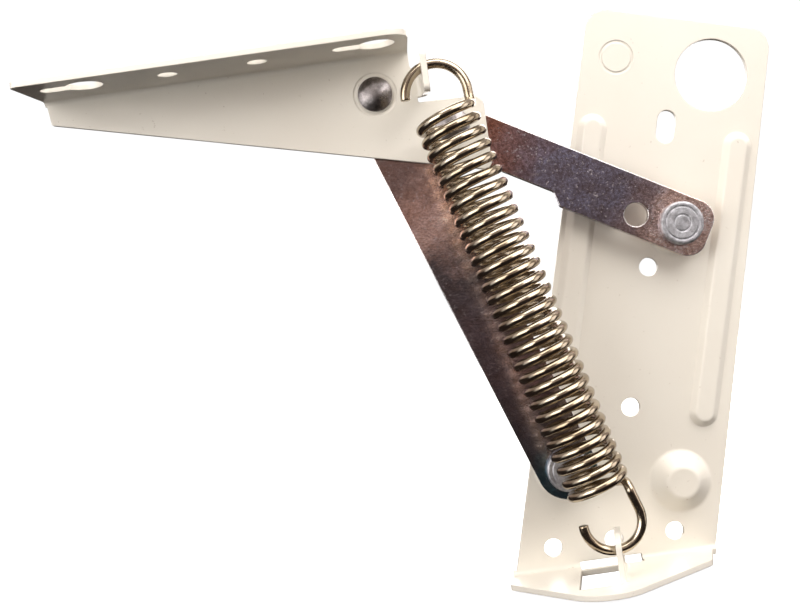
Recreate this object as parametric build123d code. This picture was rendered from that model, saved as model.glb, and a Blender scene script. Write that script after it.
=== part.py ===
from build123d import *
import os
from math import acos, asin, atan2, cos, degrees, hypot, radians, sin, sqrt, tan

# Sprung lid stay for a bench seat or a box: a pressed base plate, a lid bracket, two flat links
# and an extension spring, which together make a four-bar linkage.
# Millimetres. The origin is the middle screw hole of the foot row, on the back face of the base
# plate. X runs along the foot's fold, Z up the plate, and the front of the stay faces -Y.
# "Height" below is the distance of a layer in front of the back face, so it grows towards -Y.
# The model stands in the open position, with the lid bracket against its stop.

# ---- sheet steel of the two brackets ----
sheet = 1.5
bend_inner = 1.2

# ---- base plate: outline ----
plate_lean = 15.2
plate_reach = 141.0
plate_half_width = 24.8
plate_corner = 5.5
foot_drop = 7.5
foot_length = 54.0
foot_left_depth = 10.5
foot_right_depth = 14.0
foot_nose_out = 39.2
foot_nose_side = 19.0
foot_nose_radius = 12.0
foot_end_slant = 2.2
foot_corner = 2.0

# ---- base plate: screw holes, slot, access hole and mark ----
screw_hole_d = 5.0
foot_row_pitch = 16.5
centre_first = 35.8
slot_length = 9.0
slot_from_top = 29.2
access_hole_d = 19.5
access_hole_from_top = 13.9
access_hole_side = 10.3
mark_d = 9.2
mark_from_top = 12.3
mark_side = 15.6
mark_depth = 0.15
mark_width = 0.7

# ---- base plate: pressed ribs and bosses ----
rib_side = 19.6
rib_start = 33.0
rib_from_top = 28.2
rib_width = 7.7
rib_height = 1.6
rib_edge_round = 1.0
boss_d = 16.4
boss_height = 4.0
boss_edge_round = 1.6
boss_foot_round = 1.2
lower_pivot_up = 17.8
lower_pivot_side = 15.7
upper_pivot_up = 85.9
upper_pivot_side = 5.8

# ---- base plate: relief slit and spring tab of the foot ----
slit_left = 17.8
slit_length = 16.7
slit_up = 2.7
slit_out = 4.8
window_back = 6.4
window_left = 17.3
tab_front_wall = 3.6
tab_slant = 10.5
tab_height = 13.6
tab_front_corner = 3.5
tab_back_corner = 10.0
tab_hole_d = 3.8

# ---- links ----
link_thickness = 2.0
layer_gap = 0.1
lower_link_width = 16.0
upper_link_width = 15.2
upper_link_neck = 12.2
upper_link_nose = 8.1
upper_link_nose_round = 5.0
upper_link_neck_round = 1.0
neck_start = 31.2
neck_ramp = 3.0
spare_hole_d = 6.4
spare_hole_along = 11.8
spare_hole_side = 2.2

# ---- lid bracket, measured from its lower pivot ----
lid_pivot_x = -46.95
lid_pivot_z = 126.0
lid_second_x = 19.0
lid_second_z = -10.9
flange_up = 10.0
flange_left = 86.0
flange_right = 9.9
flange_depth = 23.0
flange_near_round = 6.0
flange_far_round = 1.5
flange_root_up = 6.2
flange_end_slant = 2.6
web_left_drop = 6.2
web_left_slant = 0.9
web_left_round = 0.5
web_right = 27.9
web_low_right = 23.9
web_step_right = 3.9
web_step_root = 3.7
web_step_round = 0.6
web_step_corner = 3.0
web_corner = 2.0
lid_tab_front = 28.0
lid_tab_low = 2.2
lid_tab_front_low = 4.5
lid_tab_high = 4.2
lid_tab_lip_high = 5.8
lid_tab_near_lip_high = 5.2
lid_tab_corner = 1.5
lid_tab_lip_corner = 1.2
notch_mouth_round = 0.6
lid_tab_face_x = 13.6

# ---- holes in the flange of the lid bracket ----
flange_row_out = 13.6
keyhole_round_d = 9.4
keyhole_neck_d = 4.8
keyhole_reach = 8.7
keyhole_row_out = 14.4
keyhole_left_x = -72.2
keyhole_right_x = 1.9
flange_hole_left_x = -51.2
flange_hole_right_x = -28.4
pivot_mark_d = 11.4

# ---- rivets ----
shoulder_d = 6.0
tail_d = 4.8
running_clearance = 0.05
flat_head_d = 11.4
flat_head_thick = 2.0
flat_head_round = 0.6
flat_head_low_round = 0.3
dome_head_d = 9.0
dome_head_thick = 2.2
dome_rim = 0.66
rear_head_thick = 1.2
rear_head_round = 0.5
base_rear_head_d = 6.8
lid_rear_head_d = 9.0
head_groove_inner_d = 4.3
head_groove_outer_d = 8.7
head_groove_depth = 0.15
head_groove_width = 0.4

# ---- extension spring: the rings of its two hooks, and its coil ----
wire_d = 2.5
coil_mean_d = 14.2
coil_turns = 29
coil_lead_angle = 4.0
spring_height = 22.0
low_ring_x = -2.95
low_ring_z = 9.1
low_ring_r = 7.4
low_straight = 7.3
low_ring_angle = 192.0
top_ring_x = 15.3
top_ring_z = -4.9
top_ring_r = 7.9
top_straight = 3.9
top_ring_angle = 168.0
tab_middle_x = -2.25
seat_gap = 0.3
hook_split = 2.0

# ---- heights of the layers ----
boss_top = sheet + boss_height
link_back = boss_top + layer_gap
link_front = link_back + link_thickness
web_back = link_front + layer_gap
web_front = web_back + sheet
bend_outer = bend_inner + sheet

# ---- what follows from the sizes above ----
centre_last = plate_reach - slot_from_top
rib_length = plate_reach - rib_from_top - rib_start
tab_front = spring_height + tab_front_wall
# A wall pressed out at 45 degrees leaves a hollow whose edge lies this far inside its own.
press_inset = sheet * tan(radians(22.5))
# The coil ends this far from a hook's ring centre, so that the straight wire between them fits.
low_neck = sqrt(low_ring_r**2 + low_straight**2 - (coil_mean_d / 2) ** 2)
top_neck = sqrt(top_ring_r**2 + top_straight**2 - (coil_mean_d / 2) ** 2)


def layer(height):
    """The plane of a layer: its X is X, its Y is Z, and it is extruded towards the front."""
    return Plane.XZ.offset(height)


def slab(face, height, thickness):
    """A flat face of the layer plane, made solid from a height upwards."""
    return extrude(layer(height) * face, amount=thickness)


def hole(point, diameter, low, high):
    """A round cutter between two heights."""
    return slab(Pos(*point) * Circle(diameter / 2), low, high - low)


def on_plate(up, side):
    """A point given along and across the centre line of the base plate."""
    lean = radians(plate_lean)
    return up * sin(lean) + side * cos(lean), up * cos(lean) - side * sin(lean)


def from_lid_pivot(x, z):
    """A point given from the lower pivot of the lid bracket."""
    return lid_pivot_x + x, lid_pivot_z + z


def leaned(shape_width, shape_length, point, angle):
    """An obround whose length lies along a direction, given as an angle from the X axis."""
    return Pos(*point) * Rot(0, 0, angle) * SlotOverall(shape_length, shape_width)


def corner_profile(out, up, thickness, inner_radius):
    """Section of a sheet bent square: its outer corner is at the origin."""
    outer = Pos(out / 2, up / 2) * Rectangle(out, up)
    outer = fillet(outer.vertices().sort_by(lambda v: v.X + v.Y)[0], inner_radius + thickness)
    inner_out = out - thickness
    inner_up = up - thickness
    inner = Pos(thickness + inner_out / 2, thickness + inner_up / 2) * Rectangle(inner_out, inner_up)
    inner = fillet(inner.vertices().sort_by(lambda v: v.X + v.Y)[0], inner_radius)
    return outer - inner


def rounded_polygon(points, radii):
    """A closed outline in which the corners that have a radius are rounded."""
    outline = make_face(Polyline(*points, close=True))
    for point, radius in zip(points, radii):
        if radius > 0:
            near = outline.vertices().sort_by(lambda v: hypot(v.X - point[0], v.Y - point[1]))[0]
            outline = fillet(near, radius)
    return outline


LOWER_PIVOT = on_plate(lower_pivot_up, -lower_pivot_side)
UPPER_PIVOT = on_plate(upper_pivot_up, upper_pivot_side)
SPARE_BOSS = on_plate(lower_pivot_up, lower_pivot_side)
LID_PIVOT = from_lid_pivot(0, 0)
LID_SECOND = from_lid_pivot(lid_second_x, lid_second_z)
LOW_RING = (low_ring_x, low_ring_z)
TOP_RING = from_lid_pivot(top_ring_x, top_ring_z)


# ------------------------------------------------------------------ base plate


def pressed_boss():
    """The raised metal of a boss on the sheet, and the hollow behind it: its side is at 45 degrees."""
    radius = boss_d / 2
    skirt = radius + boss_foot_round / 2
    points = [(0, 0), (skirt, 0), (skirt, sheet), (radius, sheet)]
    points += [(radius - boss_height, boss_top), (0, boss_top)]
    section = rounded_polygon(points, [0, 0, 0, boss_foot_round, boss_edge_round, 0])
    metal = revolve(Plane.XZ * section, Axis.Z)
    low_radius = radius - press_inset
    cone = [(0, 0), (low_radius, 0), (low_radius - boss_height, boss_height), (0, boss_height)]
    hollow = revolve(Plane.XZ * make_face(Polyline(*cone, close=True)), Axis.Z)
    turn = Rot(90, 0, 0)
    return turn * metal, turn * hollow


def pressed_rib():
    """One stiffening rib: an obround raised to the front, with the hollow that it leaves behind."""
    ridge = extrude(layer(sheet) * SlotOverall(rib_length, rib_width), amount=rib_height, taper=45)
    crest = ridge.faces().sort_by(Axis.Y)[0]
    ridge = fillet(crest.edges(), rib_edge_round)
    hollow_face = SlotOverall(rib_length - 2 * press_inset, rib_width - 2 * press_inset)
    hollow = extrude(layer(0) * hollow_face, amount=rib_height, taper=45)
    return ridge, hollow


def base_sheet():
    """The bare bent sheet: the leaning web and the foot, trimmed to their outlines."""
    foot_left = -on_foot_line()
    foot_right = foot_left + foot_length
    top_left = on_plate(plate_reach, -plate_half_width)
    top_right = on_plate(plate_reach, plate_half_width)
    web = [(foot_left, -foot_drop), (foot_right, -foot_drop), top_right, top_left]
    web_outline = rounded_polygon(web, [0, 0, plate_corner, plate_corner])
    web_space = slab(web_outline, 0, bend_outer)
    right_slant = foot_right_depth * tan(radians(plate_lean))
    nose_x = foot_left + foot_nose_side
    foot = [(foot_left, 0), (foot_left - foot_end_slant, -foot_left_depth), (nose_x, -foot_nose_out)]
    foot += [(foot_right - right_slant, -foot_right_depth), (foot_right, 0)]
    foot_outline = rounded_polygon(foot, [0, foot_corner, foot_nose_radius, foot_corner, 0])
    foot_space = extrude(Pos(0, 0, -foot_drop) * foot_outline, amount=bend_outer)
    far = 2 * plate_reach
    section_plane = Plane(origin=(far / 2, 0, -foot_drop), x_dir=(0, -1, 0), z_dir=(-1, 0, 0))
    bent = extrude(section_plane * corner_profile(far / 3, far, sheet, bend_inner), amount=far)
    return bent & (web_space + foot_space)


def on_foot_line():
    """How far left of the origin the left edge of the plate meets the foot's underside."""
    lean = radians(plate_lean)
    return plate_half_width / cos(lean) + foot_drop * tan(lean)


def tab_left_face(height):
    """Where the left face of the foot's tab stands, at a height in front of the back face."""
    at_spring = tab_middle_x - sheet / 2 / cos(radians(tab_slant))
    return at_spring + (spring_height - height) * tan(radians(tab_slant))


def ring_reach(ring_r, offset):
    """How far a hook's wire lies below or above its ring's centre, at a distance beside it."""
    return sqrt(ring_r**2 - offset**2)


def foot_tab():
    """The tab lanced and folded up from the foot: it holds the lower hook of the spring."""
    slant = radians(tab_slant)
    length = (tab_front - window_back) / cos(slant)
    start = (tab_left_face(tab_front), -tab_front, -foot_drop)
    section = Plane(origin=start, x_dir=(cos(slant), -sin(slant), 0), z_dir=(-sin(slant), -cos(slant), 0))
    profile = corner_profile(bend_outer + sheet, tab_height, sheet, bend_inner)
    tab = extrude(section * profile, amount=-length)
    top = tab.faces().sort_by(Axis.Z)[-1]
    ends = top.edges().sort_by(SortBy.LENGTH)[:2].sort_by(Axis.Y)
    tab = fillet(ends[0], tab_front_corner)
    top = tab.faces().sort_by(Axis.Z)[-1]
    back_end = top.edges().sort_by(SortBy.LENGTH)[:2].sort_by(Axis.Y)[-1]
    tab = fillet(back_end, tab_back_corner)
    # The wire pulls upwards, so it bears on the top of the hole.
    wire_z = low_ring_z - ring_reach(low_ring_r, tab_middle_x - low_ring_x)
    hole_z = wire_z + wire_d / 2 + seat_gap - tab_hole_d / 2
    across = Plane(origin=(tab_middle_x, -spring_height, hole_z), z_dir=(cos(slant), -sin(slant), 0))
    return tab - extrude(across * Circle(tab_hole_d / 2), amount=2 * sheet, both=True)


def foot_openings():
    """Cutters for the relief slit across the bend and for the window that the tab leaves."""
    left = -on_foot_line()
    slit = Pos(left + slit_left + slit_length / 2, -slit_out / 2, -foot_drop + slit_up / 2)
    slit = slit * Box(slit_length, slit_out, slit_up)
    back_left = left + window_left
    front_left = back_left - (tab_front - window_back) * tan(radians(tab_slant))
    reach = bend_outer / cos(radians(tab_slant))
    window = [(back_left, -window_back), (front_left, -tab_front)]
    window += [(tab_left_face(tab_front) + reach, -tab_front)]
    window += [(tab_left_face(window_back) + reach, -window_back)]
    window_face = Pos(0, 0, -foot_drop) * make_face(Polyline(*window, close=True))
    return slit + extrude(window_face, amount=sheet)


def base_plate():
    """Web, foot, ribs, bosses, holes and the spring's lower tab, all one pressed sheet."""
    plate = base_sheet() - foot_openings() + foot_tab()
    metal, hollow = pressed_boss()
    ridge, groove = pressed_rib()
    hollows = []
    for point in (LOWER_PIVOT, SPARE_BOSS, UPPER_PIVOT):
        place = Pos(point[0], 0, point[1])
        plate += place * metal
        hollows.append(place * hollow)
    rib_middle = rib_start + rib_length / 2
    for side in (-rib_side, rib_side):
        x, z = on_plate(rib_middle, side)
        place = Pos(x, 0, z) * Rot(0, plate_lean - 90, 0)
        plate += place * ridge
        hollows.append(place * groove)
    for hollow in hollows:
        plate -= hollow
    for step in (-1, 0, 1):
        plate -= hole((step * foot_row_pitch, 0), screw_hole_d, 0, sheet)
    for up in (centre_first, (centre_first + centre_last) / 2):
        plate -= hole(on_plate(up, 0), screw_hole_d, 0, sheet)
    slot_at = on_plate(centre_last, 0)
    plate -= slab(leaned(screw_hole_d, slot_length, slot_at, 90 - plate_lean), 0, sheet)
    access_at = on_plate(plate_reach - access_hole_from_top, access_hole_side)
    plate -= hole(access_at, access_hole_d, 0, sheet)
    mark = Circle(mark_d / 2) - Circle(mark_d / 2 - mark_width)
    mark_at = on_plate(plate_reach - mark_from_top, -mark_side)
    plate -= slab(Pos(*mark_at) * mark, sheet - mark_depth, mark_depth)
    for point in (LOWER_PIVOT, UPPER_PIVOT):
        plate -= hole(point, tail_d + 2 * running_clearance, 0, boss_top)
    return plate


# ------------------------------------------------------------------ links


def lower_link():
    """Straight flat link with round ends, from the base plate to the lid bracket."""
    length = hypot(LID_PIVOT[0] - LOWER_PIVOT[0], LID_PIVOT[1] - LOWER_PIVOT[1])
    angle = degrees(atan2(LID_PIVOT[1] - LOWER_PIVOT[1], LID_PIVOT[0] - LOWER_PIVOT[0]))
    middle = ((LID_PIVOT[0] + LOWER_PIVOT[0]) / 2, (LID_PIVOT[1] + LOWER_PIVOT[1]) / 2)
    face = leaned(lower_link_width, length + lower_link_width, middle, angle)
    link = slab(face, link_back, link_thickness)
    for point in (LOWER_PIVOT, LID_PIVOT):
        link -= hole(point, shoulder_d + 2 * running_clearance, link_back, link_front)
    return link


def upper_link():
    """Flat link that narrows to a neck behind the lid bracket, with a blunt nose at the base."""
    half = upper_link_width / 2
    neck_side = half - upper_link_neck / 2
    reach = hypot(LID_SECOND[0] - UPPER_PIVOT[0], LID_SECOND[1] - UPPER_PIVOT[1])
    along = sqrt(reach**2 - neck_side**2)
    neck_low = half - upper_link_neck
    end = along + upper_link_neck / 2
    points = [(-upper_link_nose, half), (end, half), (end, neck_low)]
    points += [(neck_start + neck_ramp, neck_low), (neck_start, -half), (-upper_link_nose, -half)]
    # Two fillets can't quite meet, so the round end stays just under half the neck's width.
    round_end = upper_link_neck * 0.499
    nose = upper_link_nose_round
    radii = [nose, round_end, round_end, upper_link_neck_round, upper_link_neck_round, nose]
    face = rounded_polygon(points, radii)
    face -= Pos(spare_hole_along, -spare_hole_side) * Circle(spare_hole_d / 2)
    face -= Circle(shoulder_d / 2 + running_clearance)
    face -= Pos(along, neck_side) * Circle(shoulder_d / 2 + running_clearance)
    # The face is drawn with the link to the right of its pivot and is turned over on to the left.
    direction = atan2(LID_SECOND[1] - UPPER_PIVOT[1], LID_SECOND[0] - UPPER_PIVOT[0])
    edge_angle = degrees(direction + asin(neck_side / reach))
    placed = Pos(*UPPER_PIVOT) * Rot(0, 0, edge_angle) * mirror(face, Plane.XZ)
    return slab(placed, link_back, link_thickness)


# ------------------------------------------------------------------ lid bracket


def flange_openings():
    """Cutters for the two keyholes and the two screw holes of the flange."""
    keyhole_y = -(web_back + keyhole_row_out)
    row_y = -(web_back + flange_row_out)
    floor_z = lid_pivot_z + flange_up
    cutters = Part()
    for x in (keyhole_left_x, keyhole_right_x):
        shape = Circle(keyhole_round_d / 2)
        shape += Pos(-keyhole_reach / 2, 0) * Rectangle(keyhole_reach, keyhole_neck_d)
        shape += Pos(-keyhole_reach, 0) * Circle(keyhole_neck_d / 2)
        cutters += extrude(Pos(lid_pivot_x + x, keyhole_y, floor_z) * shape, amount=sheet)
    for x in (flange_hole_left_x, flange_hole_right_x):
        round_hole = Pos(lid_pivot_x + x, row_y, floor_z) * Circle(screw_hole_d / 2)
        cutters += extrude(round_hole, amount=sheet)
    return cutters


def lid_tab():
    """The tab at the end of the lid bracket, bent forwards, with the notch for the spring."""
    low = -lid_tab_front_low
    tall = lid_tab_front_low + lid_tab_lip_high
    corner_x, corner_z = from_lid_pivot(lid_tab_face_x, low)
    section = Plane(origin=(corner_x, -web_back, corner_z), x_dir=(-1, 0, 0), z_dir=(0, 0, 1))
    profile = corner_profile(bend_outer, lid_tab_front - web_back, sheet, bend_inner)
    strip = extrude(section * profile, amount=tall)
    root = web_back + bend_outer
    notch = wire_d / 2 + seat_gap
    # The ring slopes through the sheet, so the seat is set where the wire lies lowest.
    wire_z = top_ring_z + ring_reach(top_ring_r, top_ring_x - lid_tab_face_x + sheet)
    near = spring_height - notch
    far = spring_height + notch
    side = [(web_back, -lid_tab_low), (root, -lid_tab_low), (lid_tab_front, low)]
    side += [(lid_tab_front, lid_tab_lip_high), (far, lid_tab_lip_high), (far, wire_z)]
    side += [(near, wire_z), (near, lid_tab_near_lip_high), (root, lid_tab_high)]
    side += [(web_back, lid_tab_high)]
    mouth = notch_mouth_round
    radii = [0, 0, lid_tab_corner, lid_tab_lip_corner, mouth, 0, 0, mouth, 0, 0]
    outline = rounded_polygon(side, radii)
    outline -= Pos(spring_height, wire_z) * Circle(notch)
    across = Plane(origin=(corner_x, 0, lid_pivot_z), x_dir=(0, -1, 0), z_dir=(-1, 0, 0))
    return strip & extrude(across * outline, amount=3 * bend_outer, both=True)


def lid_bracket():
    """Tapered web, flange and spring tab of the lid bracket, one pressed sheet."""
    top = flange_up + sheet
    bend_x = lid_tab_face_x - bend_outer
    slope = (web_step_root - web_step_right) / (web_right - lid_tab_face_x)
    step_root_z = -web_step_right - slope * (web_right - bend_x)
    web = [(-flange_left, top), (-flange_left + web_left_slant, top - web_left_drop - sheet)]
    web += [(web_right, -web_low_right), (web_right, -web_step_right), (bend_x, step_root_z)]
    web += [(bend_x, lid_tab_high), (flange_right, flange_root_up), (flange_right, top)]
    web = [from_lid_pivot(*point) for point in web]
    radii = [0, web_left_round, web_corner, web_step_corner, web_step_round, 0, 0, 0]
    web_outline = rounded_polygon(web, radii)
    web_space = slab(web_outline, web_back, bend_outer)
    near = -(web_back + flange_depth)
    left = lid_pivot_x - flange_left
    right = lid_pivot_x + flange_right
    flange = [(left, -web_back), (left - flange_end_slant, near), (right, near), (right, -web_back)]
    flange_outline = rounded_polygon(flange, [0, flange_far_round, flange_near_round, 0])
    flange_low = lid_pivot_z + top - bend_outer
    flange_space = extrude(Pos(0, 0, flange_low) * flange_outline, amount=bend_outer)
    long = 2 * (flange_left + flange_right)
    origin = (-long, -web_back, lid_pivot_z + top)
    section_plane = Plane(origin=origin, x_dir=(0, -1, 0), z_dir=(1, 0, 0))
    profile = corner_profile(2 * flange_depth, long, sheet, bend_inner)
    bent = extrude(section_plane * profile, amount=2 * long)
    bracket = (bent & (web_space + flange_space)) + lid_tab()
    bracket -= flange_openings()
    for point in (LID_PIVOT, LID_SECOND):
        bracket -= hole(point, tail_d + 2 * running_clearance, web_back, web_front)
    mark = Circle(pivot_mark_d / 2) - Circle(pivot_mark_d / 2 - mark_width)
    return bracket - slab(Pos(*LID_PIVOT) * mark, web_front - mark_depth, mark_depth)


# ------------------------------------------------------------------ rivets


def turned(points, radii, place):
    """A turned piece from its half section in radius and height, set on a pivot."""
    body = revolve(Plane.XZ * rounded_polygon(points, radii), Axis.Z)
    return Pos(place[0], 0, place[1]) * Rot(90, 0, 0) * body


def base_rivet(place):
    """Shouldered rivet of the base plate: flat spun head, shoulder for the link, riveted tail."""
    head_r = flat_head_d / 2
    shoulder_r = shoulder_d / 2
    tail_r = tail_d / 2
    tail_r_end = base_rear_head_d / 2
    head_low = link_front + layer_gap
    head_high = head_low + flat_head_thick
    tail_low = boss_top - sheet
    points = [(0, tail_low - rear_head_thick), (tail_r_end, tail_low - rear_head_thick)]
    points += [(tail_r_end, tail_low), (tail_r, tail_low), (tail_r, boss_top), (shoulder_r, boss_top)]
    points += [(shoulder_r, head_low), (head_r, head_low), (head_r, head_high), (0, head_high)]
    radii = [0, rear_head_round, 0, 0, 0, 0, 0, flat_head_low_round, flat_head_round, 0]
    rivet = turned(points, radii, place)
    for ring_r in (head_groove_inner_d / 2, head_groove_outer_d / 2):
        ring = Circle(ring_r + head_groove_width / 2) - Circle(ring_r - head_groove_width / 2)
        rivet -= slab(Pos(*place) * ring, head_high - head_groove_depth, head_groove_depth)
    return rivet


def lid_rivet_head(place, tail_low):
    """Domed head in front of the lid bracket's web, and the tail through it down to a height."""
    head_r = dome_head_d / 2
    tail_r = tail_d / 2
    rim = web_front + dome_rim
    high = web_front + dome_head_thick
    side = [(0, high), (0, tail_low), (tail_r, tail_low), (tail_r, web_front), (head_r, web_front)]
    cap = TangentArc((0, high), (head_r, rim), tangent=(1, 0))
    body = revolve(Plane.XZ * make_face([Polyline(*side, (head_r, rim)), cap]), Axis.Z)
    return Pos(place[0], 0, place[1]) * Rot(90, 0, 0) * body


def lid_rivet_rear(place, high):
    """Rear head behind the link and the shoulder in the link's hole, up to a height."""
    rear_r = lid_rear_head_d / 2
    rear_high = link_back - layer_gap
    rear_low = rear_high - rear_head_thick
    points = [(0, rear_low), (rear_r, rear_low), (rear_r, rear_high)]
    points += [(shoulder_d / 2, rear_high), (shoulder_d / 2, high), (0, high)]
    return turned(points, [0, rear_head_round, 0, 0, 0, 0], place)


def lower_base_rivet():
    """Pivot of the lower link on the base plate."""
    return base_rivet(LOWER_PIVOT)


def upper_base_rivet():
    """Pivot of the upper link on the base plate."""
    return base_rivet(UPPER_PIVOT)


def lower_lid_rivet():
    """Pivot of the lower link on the lid bracket, in one piece: it turns with the bracket."""
    return lid_rivet_rear(LID_PIVOT, web_back) + lid_rivet_head(LID_PIVOT, web_back)


def upper_lid_rivet_head():
    """Front half of the upper link's pivot on the lid bracket: it turns with the bracket."""
    return lid_rivet_head(LID_SECOND, web_back)


def upper_lid_rivet_tail():
    """Rear half of the same pivot: it turns with the upper link."""
    return lid_rivet_rear(LID_SECOND, link_front)


# ------------------------------------------------------------------ spring

SPAN = hypot(TOP_RING[0] - LOW_RING[0], TOP_RING[1] - LOW_RING[1])
AXIS_X = (TOP_RING[0] - LOW_RING[0]) / SPAN
AXIS_Z = (TOP_RING[1] - LOW_RING[1]) / SPAN


def ring_plane(distance):
    """Plane of the hooks, so far along the spring from the lower ring: its Y runs up the spring."""
    x = LOW_RING[0] + AXIS_X * distance
    z = LOW_RING[1] + AXIS_Z * distance
    return Plane(origin=(x, -spring_height, z), x_dir=(AXIS_Z, 0, -AXIS_X), z_dir=(0, -1, 0))


def wire_along(path):
    """Round wire along a path."""
    return sweep(Plane(origin=path @ 0, z_dir=path % 0) * Circle(wire_d / 2), path=path)


def hook(plane, ring_r, neck, side, turn, split):
    """Wire of a hook from the coil's right side round its open ring; side is -1 for the lower one.

    The hook starts a little way out from the coil where it is split from the bend."""
    corner = Vector(coil_mean_d / 2, -side * neck)
    touch_angle = atan2(corner.Y, corner.X) + side * acos(ring_r / hypot(corner.X, corner.Y))
    touch = Vector(ring_r * cos(touch_angle), ring_r * sin(touch_angle))
    start = corner + (touch - corner).normalized() * split
    arc = CenterArc((0, 0), ring_r, degrees(touch_angle), side * turn - degrees(touch_angle))
    path = plane * Wire([Line(start, touch), arc])
    return wire_along(path)


def bend(plane, side, neck, ring_r, split):
    """Sharp bend at an end of the coil, with the straight wire up to where the hook is split off."""
    corner = Vector(coil_mean_d / 2, -side * neck)
    ball = Pos(*(plane.from_local_coords(corner))) * Sphere(wire_d / 2)
    if split == 0:
        return ball
    touch_angle = atan2(corner.Y, corner.X) + side * acos(ring_r / hypot(corner.X, corner.Y))
    touch = Vector(ring_r * cos(touch_angle), ring_r * sin(touch_angle))
    end = corner + (touch - corner).normalized() * split
    return ball + wire_along(plane * Wire([Line(corner, end)]))


def coil():
    """The turns of the spring, right-handed, between the bends into its two hooks."""
    length = SPAN - low_neck - top_neck
    line = Helix(pitch=length / coil_turns, height=length, radius=coil_mean_d / 2)
    begin = Plane(origin=line @ 0, z_dir=line % 0)
    turns = sweep(begin * Circle(wire_d / 2), path=line, is_frenet=True)
    foot = ring_plane(low_neck)
    return Plane(origin=foot.origin, x_dir=foot.x_dir, z_dir=foot.y_dir) * Rot(0, 0, coil_lead_angle) * turns


def extension_spring():
    """Coil, the whole lower hook, and the bend towards the top hook."""
    low = ring_plane(0)
    top = ring_plane(SPAN)
    lower = hook(low, low_ring_r, low_neck, -1, low_ring_angle, 0) + bend(low, -1, low_neck, low_ring_r, 0)
    return coil() + bend(top, 1, top_neck, top_ring_r, hook_split) + lower


def spring_top_hook():
    """Open ring at the top of the spring, which travels with the lid bracket's tab."""
    return hook(ring_plane(SPAN), top_ring_r, top_neck, 1, top_ring_angle, hook_split)


PIECES = (
    base_plate,
    lid_bracket,
    lower_link,
    upper_link,
    lower_base_rivet,
    upper_base_rivet,
    lower_lid_rivet,
    upper_lid_rivet_head,
    upper_lid_rivet_tail,
    extension_spring,
    spring_top_hook,
)

os.makedirs("parts", exist_ok=True)
for piece in PIECES:
    export_step(piece(), f"parts/{piece.__name__}.step")
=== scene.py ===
import bpy
from math import acos, atan2, cos, hypot, pi, radians, sin, sqrt
from mathutils import Matrix, Vector


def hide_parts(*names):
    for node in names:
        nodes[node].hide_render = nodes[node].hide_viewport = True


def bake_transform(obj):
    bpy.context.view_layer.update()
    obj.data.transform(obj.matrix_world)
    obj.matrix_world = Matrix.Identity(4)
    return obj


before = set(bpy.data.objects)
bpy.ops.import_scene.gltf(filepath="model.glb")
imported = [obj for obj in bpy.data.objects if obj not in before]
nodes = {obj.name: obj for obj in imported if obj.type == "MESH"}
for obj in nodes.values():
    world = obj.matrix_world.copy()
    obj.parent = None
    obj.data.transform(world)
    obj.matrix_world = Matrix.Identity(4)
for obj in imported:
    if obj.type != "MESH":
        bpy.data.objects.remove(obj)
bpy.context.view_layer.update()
scene = bpy.context.scene

# ------------------------------------------------------------------ camera and studio

# The camera looks along +Y and is rolled a little, as the photograph was taken.
SENSOR_WIDTH = 36.0
FOCAL_PIXELS = 1165.5
IMAGE_WIDTH = 800.0
CENTRE_DROP = 2.5
CAMERA_PLACE = (-0.0484, -0.315, 0.0691)
CAMERA_ROLL = radians(-8.05)

camera_data = bpy.data.cameras.new("camera")
camera_data.sensor_width = SENSOR_WIDTH
camera_data.lens = SENSOR_WIDTH * FOCAL_PIXELS / IMAGE_WIDTH
camera_data.shift_y = CENTRE_DROP / IMAGE_WIDTH
camera_data.clip_start = 0.01
camera = bpy.data.objects.new("camera", camera_data)
scene.collection.objects.link(camera)
level = Matrix.Rotation(radians(90), 4, "X")
roll = Matrix.Rotation(CAMERA_ROLL, 4, "Z")
camera.matrix_world = Matrix.Translation(CAMERA_PLACE) @ level @ roll
scene.camera = camera
scene.view_settings.view_transform = "Standard"


def softbox(name, position, target, width, height, radiance, colour):
    """A rectangular studio light at a position, turned towards a target.

    Its brightness is given as a panel's radiance, so that it stays when the size changes.
    """
    data = bpy.data.lights.new(name, "AREA")
    data.shape = "RECTANGLE"
    data.size = width
    data.size_y = height
    data.energy = radiance * width * height * pi
    data.color = colour
    lamp = bpy.data.objects.new(name, data)
    scene.collection.objects.link(lamp)
    aim = Vector(target) - Vector(position)
    turned = aim.to_track_quat("-Z", "Y").to_matrix().to_4x4()
    lamp.matrix_world = Matrix.Translation(position) @ turned


def fill_ramp(ramp, stops):
    """Set the stops of a colour ramp, each a position with a colour or a grey."""
    for index, (position, colour) in enumerate(stops):
        entry = ramp.elements[index] if index < 2 else ramp.elements.new(position)
        entry.position = position
        grey = isinstance(colour, (int, float))
        entry.color = (colour, colour, colour, 1) if grey else (*colour, 1)


# Each light: position, target, width, height, radiance and colour.
softbox("key", (0.50, -0.62, 0.58), (0.0, 0.0, 0.08), 0.70, 0.52, 4.0, (1.0, 0.975, 0.945))
softbox("overhead", (0.06, -0.24, 0.62), (-0.02, 0.0, 0.09), 0.85, 0.34, 3.8, (1.0, 0.965, 0.92))
softbox("front", (-0.50, -0.45, 0.16), (-0.08, 0.0, 0.10), 0.50, 0.50, 3.8, (1.0, 0.975, 0.94))
softbox("side", (0.55, -0.10, 0.10), (0.0, 0.0, 0.07), 0.25, 0.50, 1.8, (1.0, 0.97, 0.96))
softbox("left", (-0.60, -0.15, 0.05), (-0.05, 0.0, 0.07), 0.25, 0.50, 0.9, (0.94, 0.96, 1.0))
softbox("back", (0.10, 0.90, 0.40), (-0.03, 0.0, 0.07), 0.90, 0.70, 3.2, (1.0, 0.975, 0.95))

# What the camera sees behind the part is plain white.
SEEN_WHITE = 1.05
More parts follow.
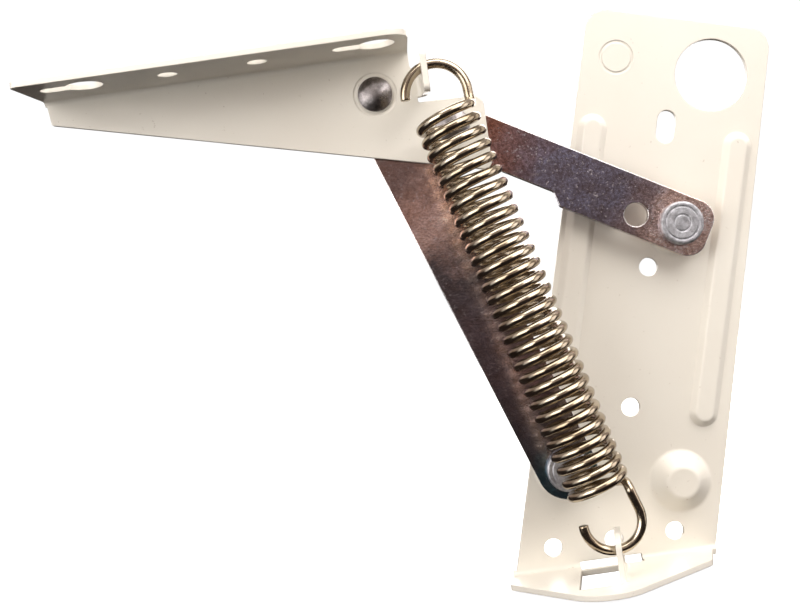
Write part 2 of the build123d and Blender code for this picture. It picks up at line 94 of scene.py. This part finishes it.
# The room that lights the part, by height from straight down (0) to straight up (1): dark below,
# and smoothly lighter from eye level up.
ROOM_BY_HEIGHT = [
    (0.44, (0.030, 0.023, 0.021)),
    (0.497, (0.055, 0.042, 0.040)),
    (0.540, (0.40, 0.32, 0.295)),
    (0.85, (0.50, 0.45, 0.42)),
]

world = bpy.data.worlds.new("world")
scene.world = world
world.use_nodes = True
tree = world.node_tree
tree.nodes.clear()
output = tree.nodes.new("ShaderNodeOutputWorld")
seen = tree.nodes.new("ShaderNodeBackground")
seen.inputs["Color"].default_value = (1, 1, 1, 1)
seen.inputs["Strength"].default_value = SEEN_WHITE
lit = tree.nodes.new("ShaderNodeBackground")
lit.inputs["Strength"].default_value = 1.0
path = tree.nodes.new("ShaderNodeLightPath")
choose = tree.nodes.new("ShaderNodeMixShader")
tree.links.new(path.outputs["Is Camera Ray"], choose.inputs["Fac"])
tree.links.new(lit.outputs[0], choose.inputs[1])
tree.links.new(seen.outputs[0], choose.inputs[2])
tree.links.new(choose.outputs[0], output.inputs["Surface"])
direction = tree.nodes.new("ShaderNodeTexCoord")
height = tree.nodes.new("ShaderNodeSeparateXYZ")
share = tree.nodes.new("ShaderNodeMapRange")
share.inputs["From Min"].default_value = -1.0
share.inputs["From Max"].default_value = 1.0
room = tree.nodes.new("ShaderNodeValToRGB")
room.color_ramp.interpolation = "EASE"
fill_ramp(room.color_ramp, ROOM_BY_HEIGHT)
tree.links.new(direction.outputs["Generated"], height.inputs["Vector"])
tree.links.new(height.outputs["Z"], share.inputs["Value"])
tree.links.new(share.outputs["Result"], room.inputs["Fac"])
tree.links.new(room.outputs["Color"], lit.inputs["Color"])


def mesh_object(name, vertices, faces):
    """A new, smoothly shaded object from vertices, in metres, and faces."""
    data = bpy.data.meshes.new(name)
    data.from_pydata(vertices, [], faces)
    data.validate()
    data.update()
    for polygon in data.polygons:
        polygon.use_smooth = True
    made = bpy.data.objects.new(name, data)
    scene.collection.objects.link(made)
    return made


# The floor lies 1 mm under the foot's lowest point and runs on far behind the part, in metres.
FLOOR_Z = -0.0085
FLOOR_SIDE = 6
FLOOR_FRONT = -2
FLOOR_BACK = 9
floor_corners = [
    (-FLOOR_SIDE, FLOOR_FRONT, FLOOR_Z),
    (FLOOR_SIDE, FLOOR_FRONT, FLOOR_Z),
    (FLOOR_SIDE, FLOOR_BACK, FLOOR_Z),
    (-FLOOR_SIDE, FLOOR_BACK, FLOOR_Z),
]
floor = mesh_object("floor", floor_corners, [(0, 1, 2, 3)])
floor.visible_glossy = False
floor.visible_diffuse = False


# ------------------------------------------------------------------ materials


# The sockets of a Mix node that mixes colours.
MIX_FACTOR = 0
MIX_A = 6
MIX_B = 7
MIX_RESULT = 2
BEVEL_SAMPLES = 6
# Radii of the soft edges, in metres.
PAINT_EDGE = 0.0004
RIVET_EDGE = 0.0004
ZINC_EDGE = 0.00035
# How far the tints and painted reflections of a link wander along it, as a share of its length.
TINT_AND_REFLECTION_DRIFT = 0.30
# How far the rounded normal leans from the flat one, as their dot product, where the painted edge
# highlight is full and where there is none.
FULL_EDGE_HIGHLIGHT = 0.90
NO_EDGE_HIGHLIGHT = 0.995


class Nodes:
    """Short names for building one material's nodes."""

    def __init__(self, name):
        self.material = bpy.data.materials.new(name)
        self.material.use_nodes = True
        self.tree = self.material.node_tree
        self.shader = self.tree.nodes["Principled BSDF"]
        self.place = self.tree.nodes.new("ShaderNodeTexCoord").outputs["Object"]

    def link(self, output, socket):
        self.tree.links.new(output, socket)

    def into(self, name, value):
        """A constant on the shader's own socket, or a link to it."""
        if isinstance(value, bpy.types.NodeSocket):
            self.link(value, self.shader.inputs[name])
        else:
            self.shader.inputs[name].default_value = value

    def mapped(self, scale, turn):
        """Object coordinates, turned by angles in degrees and then scaled along each axis."""
        node = self.tree.nodes.new("ShaderNodeMapping")
        node.inputs["Scale"].default_value = scale
        node.inputs["Rotation"].default_value = [radians(angle) for angle in turn]
        self.link(self.place, node.inputs["Vector"])
        return node.outputs["Vector"]

    def noise(self, scale, detail=3.0, roughness=0.5, vector=None):
        """Noise in object coordinates, finer as the scale grows."""
        node = self.tree.nodes.new("ShaderNodeTexNoise")
        node.inputs["Scale"].default_value = scale
        node.inputs["Detail"].default_value = detail
        node.inputs["Roughness"].default_value = roughness
        self.link(vector or self.place, node.inputs["Vector"])
        return node.outputs["Fac"]

    def ramp(self, value, stops):
        """Colours, or greys, against a value."""
        node = self.tree.nodes.new("ShaderNodeValToRGB")
        fill_ramp(node.color_ramp, stops)
        self.link(value, node.inputs["Fac"])
        return node.outputs["Color"]

    def mix(self, share, a, b, kind="MIX"):
        """Colour a with a share of colour b, by Blender's blend types."""
        node = self.tree.nodes.new("ShaderNodeMix")
        node.data_type = "RGBA"
        node.blend_type = kind
        factor = node.inputs[MIX_FACTOR]
        if isinstance(share, bpy.types.NodeSocket):
            self.link(share, factor)
        else:
            factor.default_value = share
        self.link(a, node.inputs[MIX_A])
        if isinstance(b, bpy.types.NodeSocket):
            self.link(b, node.inputs[MIX_B])
        else:
            node.inputs[MIX_B].default_value = (*b, 1)
        return node.outputs[MIX_RESULT]

    def bump(self, height, distance, strength, normal=None):
        """Normals of a height pattern, over the surface's own or other normals."""
        node = self.tree.nodes.new("ShaderNodeBump")
        node.inputs["Distance"].default_value = distance
        node.inputs["Strength"].default_value = strength
        self.link(height, node.inputs["Height"])
        if normal:
            self.link(normal, node.inputs["Normal"])
        return node.outputs["Normal"]

    def rounded(self, radius):
        """Normals as if the edges were rounded."""
        node = self.tree.nodes.new("ShaderNodeBevel")
        node.samples = BEVEL_SAMPLES
        node.inputs["Radius"].default_value = radius
        return node.outputs["Normal"]

    def dot(self, a, b):
        """Dot product of a linked vector and another one, linked or constant."""
        node = self.tree.nodes.new("ShaderNodeVectorMath")
        node.operation = "DOT_PRODUCT"
        self.link(a, node.inputs[0])
        if isinstance(b, bpy.types.NodeSocket):
            self.link(b, node.inputs[1])
        else:
            node.inputs[1].default_value = b
        return node.outputs["Value"]

    def sum(self, a, b, share):
        """One value plus a share of another."""
        node = self.tree.nodes.new("ShaderNodeMath")
        node.operation = "MULTIPLY_ADD"
        self.link(b, node.inputs[0])
        node.inputs[1].default_value = share
        self.link(a, node.inputs[2])
        return node.outputs["Value"]

    def between(self, value, low, high):
        """A value brought to run from 0 to 1 between two limits."""
        node = self.tree.nodes.new("ShaderNodeMapRange")
        node.inputs["From Min"].default_value = low
        node.inputs["From Max"].default_value = high
        self.link(value, node.inputs["Value"])
        return node.outputs["Result"]

    def painted_edge_highlight(self, radius):
        """A mask for the painted edge highlight: 1 along sharp edges and 0 on flat faces."""
        flat = self.tree.nodes.new("ShaderNodeNewGeometry").outputs["Normal"]
        return self.between(self.dot(self.rounded(radius), flat), NO_EDGE_HIGHLIGHT, FULL_EDGE_HIGHLIGHT)


def paint(name, colour, shade):
    """Glossy cream paint on pressed steel: soft edges, orange peel, faint clouds and specks."""
    m = Nodes(name)
    cloud = m.noise(18.0, 4.0, 0.55)
    tone = m.ramp(cloud, [(0.35, shade), (0.65, colour)])
    specks = m.ramp(m.noise(620.0, 2.0, 0.6), [(0.70, 0.0), (0.76, 0.35)])
    tone = m.mix(specks, tone, (0.42, 0.35, 0.27))
    m.into("Base Color", tone)
    m.into("Roughness", m.ramp(m.noise(90.0, 4.0), [(0.3, 0.30), (0.7, 0.44)]))
    m.into("Coat Weight", 0.25)
    m.into("Coat Roughness", 0.16)
    peel = m.bump(m.noise(900.0, 2.0), 0.00004, 0.35, m.rounded(PAINT_EDGE))
    m.into("Normal", peel)
    return m.material


def zinc(name, stops, start, end, turn, roughness, speckle):
    """Zinc-plated steel: tints and painted reflections along the link, patches, speckle, streaks and
    painted highlights on the edges.

    The stops run from start to end, turn is the streaks' slant in degrees, and speckle is the
    share of the fine grains.
    """
    m = Nodes(name)
    way = Vector(end) - Vector(start)
    length = way.length
    way.normalize()
    low = Vector(start).dot(way)
    along = m.between(m.dot(m.place, way), low, low + length)
    wander = m.sum(along, m.noise(70.0, 5.0, 0.62), TINT_AND_REFLECTION_DRIFT)
    along = m.between(wander, 0.0, 1.0 + TINT_AND_REFLECTION_DRIFT)
    # Noise is about a half on average, so the stops move up by half the drift.
    moved = [((at + TINT_AND_REFLECTION_DRIFT / 2) / (1 + TINT_AND_REFLECTION_DRIFT), colour) for at, colour in stops]
    # The ramp paints the plating's tints together with painted reflections along the link.
    tone = m.ramp(along, moved)
    streaks = m.noise(22.0, 6.0, 0.65, m.mapped((9.0, 60.0, 60.0), (0, turn, 0)))
    grains = m.noise(1500.0, 3.0, 0.75)
    patches = m.noise(210.0, 5.0, 0.7)
    grain_tones = m.ramp(grains, [(0.36, (0.45, 0.34, 0.30)), (0.62, (1.35, 1.40, 1.50))])
    tone = m.mix(speckle, tone, grain_tones, "MULTIPLY")
    patch_tones = m.ramp(patches, [(0.35, (0.70, 0.52, 0.42)), (0.65, (1.15, 1.20, 1.35))])
    tone = m.mix(0.45, tone, patch_tones, "MULTIPLY")
    tone = m.mix(m.ramp(streaks, [(0.55, 0.0), (0.80, 0.30)]), tone, (0.80, 0.78, 0.80))
    sparks = m.noise(1250.0, 2.0, 0.6)
    tone = m.mix(m.ramp(sparks, [(0.62, 0.0), (0.72, speckle)]), tone, (0.85, 0.84, 0.90))
    # A painted highlight along the sharp edges, light grey over the zinc.
    tone = m.mix(m.painted_edge_highlight(ZINC_EDGE), tone, (0.95, 0.93, 0.92))
    m.into("Base Color", tone)
    m.into("Metallic", 0.95)
    worn = [(0.3, roughness * 0.8), (0.7, roughness * 1.3)]
    m.into("Roughness", m.ramp(m.noise(240.0, 5.0, 0.7), worn))
    fine = m.bump(streaks, 0.00003, 0.5, m.rounded(ZINC_EDGE))
    m.into("Normal", m.bump(m.noise(1900.0, 3.0, 0.6), 0.00006, 0.5, fine))
    return m.material


def wire_metal(name):
    """Drawn, plated spring wire: warm bright metal with fine draw marks and a little tarnish."""
    m = Nodes(name)
    tone = m.ramp(m.noise(160.0, 4.0), [(0.3, (0.30, 0.235, 0.16)), (0.7, (0.58, 0.50, 0.39))])
    tarnish = m.ramp(m.noise(480.0, 5.0, 0.7), [(0.56, 0.0), (0.74, 0.45)])
    tone = m.mix(tarnish, tone, (0.12, 0.08, 0.06))
    m.into("Base Color", tone)
    m.into("Metallic", 1.0)
    m.into("Roughness", m.ramp(m.noise(700.0, 3.0), [(0.3, 0.15), (0.7, 0.24)]))
    m.into("Normal", m.bump(m.noise(1800.0, 2.0), 0.00002, 0.15))
    return m.material


def rivet_metal(name, colour, roughness):
    """Dull zinc-plated rivet, a little rough from the riveting tool."""
    m = Nodes(name)
    dark = [part * 0.42 for part in colour]
    tone = m.ramp(m.noise(640.0, 6.0, 0.75), [(0.34, dark), (0.64, colour)])
    m.into("Base Color", tone)
    m.into("Metallic", 1.0)
    worn = [(0.3, roughness * 0.8), (0.7, roughness * 1.2)]
    m.into("Roughness", m.ramp(m.noise(300.0, 4.0), worn))
    m.into("Normal", m.bump(m.noise(900.0, 5.0, 0.75), 0.00012, 0.8, m.rounded(RIVET_EDGE)))
    return m.material


def dress(node, material):
    """Give a CAD node one material."""
    data = nodes[node].data
    data.materials.clear()
    data.materials.append(material)


def floor_material():
    """Plain white that shines a little, so that the floor is as white as the ground behind it."""
    m = Nodes("floor_white")
    m.into("Base Color", (0.9, 0.9, 0.9, 1))
    m.into("Roughness", 0.9)
    m.into("Emission Color", (1, 1, 1, 1))
    m.into("Emission Strength", 0.9)
    return m.material


floor.data.materials.append(floor_material())
CREAM = (0.86, 0.825, 0.745)
CREAM_SHADE = (0.83, 0.785, 0.70)
cream = paint("cream_paint", CREAM, CREAM_SHADE)
dress("base_plate", cream)
dress("lid_bracket", cream)
# Tints and painted reflections along the links, from the lid's end of the upper one and the base's
# end of the lower one.
# The hues are partly the plating's own colour. The light-to-dark changes, the bright copper patch at
# about two thirds
# of the lower link and the bright nose of the upper link are painted reflections of the room.
UPPER_TINTS_AND_REFLECTIONS = [
    (0.00, (0.40, 0.18, 0.12)),
    (0.20, (0.38, 0.20, 0.15)),
    (0.40, (0.27, 0.26, 0.33)),
    (0.72, (0.26, 0.25, 0.31)),
    (0.88, (0.42, 0.34, 0.34)),
    (0.95, (0.98, 0.80, 0.72)),
]
LOWER_TINTS_AND_REFLECTIONS = [
    (0.00, (0.13, 0.25, 0.31)),
    (0.06, (0.24, 0.22, 0.23)),
    (0.30, (0.38, 0.30, 0.31)),
    (0.54, (0.22, 0.20, 0.21)),
    (0.65, (0.98, 0.72, 0.62)),
    (0.72, (0.80, 0.56, 0.48)),
    (0.80, (0.34, 0.24, 0.21)),
    (1.00, (0.32, 0.24, 0.22)),
]
# The pivots between which the tints and painted reflections run, in metres.
LOWER_PIVOT = (-0.0105, -0.0066, 0.0213)
UPPER_PIVOT = (0.0281, -0.0066, 0.0814)
LID_PIVOT = (-0.0470, -0.0066, 0.1260)
LID_SECOND = (-0.0280, -0.0066, 0.1151)
upper_zinc = zinc(
    "zinc_upper",
    UPPER_TINTS_AND_REFLECTIONS,
    start=LID_SECOND,
    end=UPPER_PIVOT,
    turn=30,
    roughness=0.20,
    speckle=0.75,
)
lower_zinc = zinc(
    "zinc_lower",
    LOWER_TINTS_AND_REFLECTIONS,
    start=LOWER_PIVOT,
    end=LID_PIVOT,
    turn=71,
    roughness=0.18,
    speckle=0.35,
)
dress("upper_link", upper_zinc)
dress("lower_link", lower_zinc)
grey_rivet = rivet_metal("rivet_zinc", (0.66, 0.66, 0.70), 0.50)
dark_rivet = rivet_metal("rivet_dark", (0.36, 0.33, 0.33), 0.32)
for name in ("lower_base_rivet", "upper_base_rivet", "upper_lid_rivet_tail"):
    dress(name, grey_rivet)
for name in ("lower_lid_rivet", "upper_lid_rivet_head"):
    dress(name, dark_rivet)

# ------------------------------------------------------------------ spring

# Sizes in millimetres, as in the CAD. WIRE and COIL are radii, and a ring is a hook's centre in x, z.
MM = 0.001
WIRE = 1.25
COIL = 7.1
TURNS = 29
LEAD = radians(4.0)
DEPTH = 22.0
LOW_RING = (-2.95, 9.1)
TOP_RING = (-31.65, 121.1)
LOW_R = 7.4
TOP_R = 7.9
LOW_STRAIGHT = 7.3
TOP_STRAIGHT = 3.9
LOW_NECK = sqrt(LOW_R**2 + LOW_STRAIGHT**2 - COIL**2)
TOP_NECK = sqrt(TOP_R**2 + TOP_STRAIGHT**2 - COIL**2)
LOW_TURN = 192.0
TOP_TURN = 168.0
SIDES = 16
# Steps round a turn of the coil, round a hook, along a bend and along each straight neck.
TURN_STEPS = 40
HOOK_STEPS = 72
BEND_STEPS = 14
LOW_NECK_STEPS = 6
TOP_NECK_STEPS = 3
# A bend joins the coil to a neck: the arc it takes from the coil, the length it takes from the
# neck, and the length of the tangents that shape it.
BEND_ARC = radians(16)
BEND_REACH = 2.6
BEND_PULL = 4.2
# The wire's rounded ends: how far past the end each ring stands, and its share of the radius.
END_RINGS = ((0.0, 1.0), (0.13, 0.93), (0.18, 0.80))
# Room over the notch of the lid bracket, which takes away most of the hook's contact with it when
# the stay is folded, though not all.
HOOK_ROOM = 0.3

span = hypot(TOP_RING[0] - LOW_RING[0], TOP_RING[1] - LOW_RING[1])
axis = Vector(((TOP_RING[0] - LOW_RING[0]) / span, 0, (TOP_RING[1] - LOW_RING[1]) / span))
right = Vector((axis.z, 0, -axis.x))
span += HOOK_ROOM
back = Vector((0, 1, 0))
base_point = Vector((LOW_RING[0], -DEPTH, LOW_RING[1]))


def from_spring(across, behind, up):
    """A point given from the lower ring's centre, in millimetres along the spring's own axes."""
    return base_point + right * across + back * behind + axis * up


def ring_points(centre, radius, neck, side, turn):
    """Points round a hook, from where the straight neck touches its ring to the free end."""
    corner = (COIL, -side * neck)
    touch = atan2(corner[1], corner[0]) + side * acos(radius / hypot(*corner))
    last = side * radians(turn)
    made = []
    for k in range(HOOK_STEPS + 1):
        angle = touch + (last - touch) * k / HOOK_STEPS
        made.append(from_spring(radius * cos(angle), 0, centre + radius * sin(angle)))
    return made


def hermite(p, tp, q, tq, steps):
    """A smooth curve between two points with given tangents, without its two ends."""
    made = []
    for k in range(1, steps):
        t = k / steps
        a = 2 * t**3 - 3 * t**2 + 1
        b = t**3 - 2 * t**2 + t
        c = -2 * t**3 + 3 * t**2
        d = t**3 - t**2
        made.append(p * a + tp * b + q * c + tq * d)
    return made


def coil_point(angle):
    """A point of the coil's centre line, by the angle it has turned through."""
    height = LOW_NECK + (span - LOW_NECK - TOP_NECK) * angle / (2 * pi * TURNS)
    return from_spring(COIL * cos(angle + LEAD), COIL * sin(angle + LEAD), height)


def spring_path():
    """Centre line of the whole wire, from the lower hook's free end to the top hook's."""
    low = ring_points(0, LOW_R, LOW_NECK, -1, LOW_TURN)
    top = ring_points(span, TOP_R, TOP_NECK, 1, TOP_TURN)
    arc = 2 * pi * TURNS - 2 * BEND_ARC
    count = TURNS * TURN_STEPS
    turns = [coil_point(BEND_ARC + arc * k / count) for k in range(count + 1)]
    low_in = from_spring(COIL, 0, LOW_NECK - BEND_REACH)
    top_end = from_spring(COIL, 0, span - TOP_NECK)
    top_way = (top[0] - top_end).normalized()
    top_in = top_end + top_way * BEND_REACH
    start_pull = (turns[1] - turns[0]).normalized() * BEND_PULL
    end_pull = (turns[-1] - turns[-2]).normalized() * BEND_PULL
    low_bend = hermite(low_in, axis * BEND_PULL, turns[0], start_pull, BEND_STEPS)
    top_bend = hermite(turns[-1], end_pull, top_in, top_way * BEND_PULL, BEND_STEPS)
    low_neck = []
    for k in range(1, LOW_NECK_STEPS + 1):
        low_neck.append(low[0] + (low_in - low[0]) * k / LOW_NECK_STEPS)
    top_neck = []
    for k in range(TOP_NECK_STEPS):
        top_neck.append(top_in + (top[0] - top_in) * k / TOP_NECK_STEPS)
    return low[::-1] + low_neck + low_bend + turns + top_bend + top_neck + top


def tube(name, points, radius, sides):
    """A round wire along points, with cut and slightly rounded ends."""
    ways = []
    for k in range(len(points)):
        a = points[max(k - 1, 0)]
        b = points[min(k + 1, len(points) - 1)]
        ways.append((b - a).normalized())
    normal = ways[0].orthogonal().normalized()
    rings = []
    for point, way in zip(points, ways):
        normal = (normal - way * normal.dot(way)).normalized()
        other = way.cross(normal)
        rings.append((point, way, normal.copy(), other))
    sections = []
    point, way, normal, other = rings[0]
    for past, share in reversed(END_RINGS):
        sections.append((point - way * past, normal, other, share))
    for point, _, normal, other in rings[1:-1]:
        sections.append((point, normal, other, 1.0))
    point, way, normal, other = rings[-1]
    for past, share in END_RINGS:
        sections.append((point + way * past, normal, other, share))
    vertices = []
    for point, normal, other, share in sections:
        for j in range(sides):
            angle = 2 * pi * j / sides
            outward = normal * cos(angle) + other * sin(angle)
            vertices.append((point + outward * radius * share) * MM)
    faces = []
    for k in range(len(sections) - 1):
        for j in range(sides):
            a = k * sides + j
            b = k * sides + (j + 1) % sides
            faces.append((a, b, b + sides, a + sides))
    faces.append(tuple(range(sides - 1, -1, -1)))
    faces.append(tuple((len(sections) - 1) * sides + j for j in range(sides)))
    return mesh_object(name, [tuple(v) for v in vertices], faces)


spring = tube("spring_wire", spring_path(), WIRE, SIDES)
spring.data.materials.append(wire_metal("wire"))
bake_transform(spring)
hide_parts("extension_spring", "spring_top_hook")
